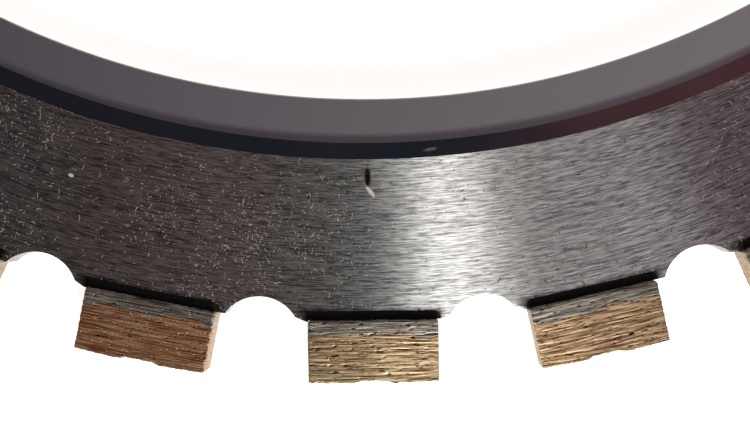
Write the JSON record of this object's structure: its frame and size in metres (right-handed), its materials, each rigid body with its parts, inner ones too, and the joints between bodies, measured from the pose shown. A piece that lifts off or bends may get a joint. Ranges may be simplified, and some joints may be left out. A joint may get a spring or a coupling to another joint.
{
  "type": "ring saw blade",
  "caption": "Ring-shaped diamond saw blade: a brushed steel ring with a thin bevelled drive flange inside and welded diamond segments between round gullets outside.",
  "frame": {"origin": "centre of the ring at half of its thickness", "axes": "+Z along the blade's axis, out of its front face; the blade lies flat in X and Y, with the middle of one segment on -Y and of the opposite one on +Y"},
  "size_m": [0.3496, 0.35, 0.004],
  "materials": {
    "core_steel": "brushed round the ring, with a matte ground land and a dark polished guide bevel inside",
    "segment_foot": "grey sintered iron without diamonds, ground along the rim",
    "diamond_bronze": "sintered bronze with diamond grit, ground in stripes along the rim, pitted",
    "weld_metal": "black oxidised laser weld, finely rippled"
  },
  "bodies": {
    "root": {"steel_core": "core_steel", "segment_feet": "segment_foot", "weld_seams_front": "weld_metal", "weld_seams_back": "weld_metal", "segment_01": "diamond_bronze", "segment_02": "diamond_bronze", "segment_03": "diamond_bronze", "segment_04": "diamond_bronze", "segment_05": "diamond_bronze", "segment_06": "diamond_bronze", "segment_07": "diamond_bronze", "segment_08": "diamond_bronze", "segment_09": "diamond_bronze", "segment_10": "diamond_bronze", "segment_11": "diamond_bronze", "segment_12": "diamond_bronze", "segment_13": "diamond_bronze", "segment_14": "diamond_bronze", "segment_15": "diamond_bronze", "segment_16": "diamond_bronze", "segment_17": "diamond_bronze", "segment_18": "diamond_bronze", "segment_19": "diamond_bronze", "segment_20": "diamond_bronze", "segment_21": "diamond_bronze", "segment_22": "diamond_bronze", "segment_23": "diamond_bronze", "segment_24": "diamond_bronze", "segment_25": "diamond_bronze", "segment_26": "diamond_bronze", "segment_27": "diamond_bronze", "segment_28": "diamond_bronze", "segment_29": "diamond_bronze", "segment_30": "diamond_bronze"}
  },
  "joints": []
}
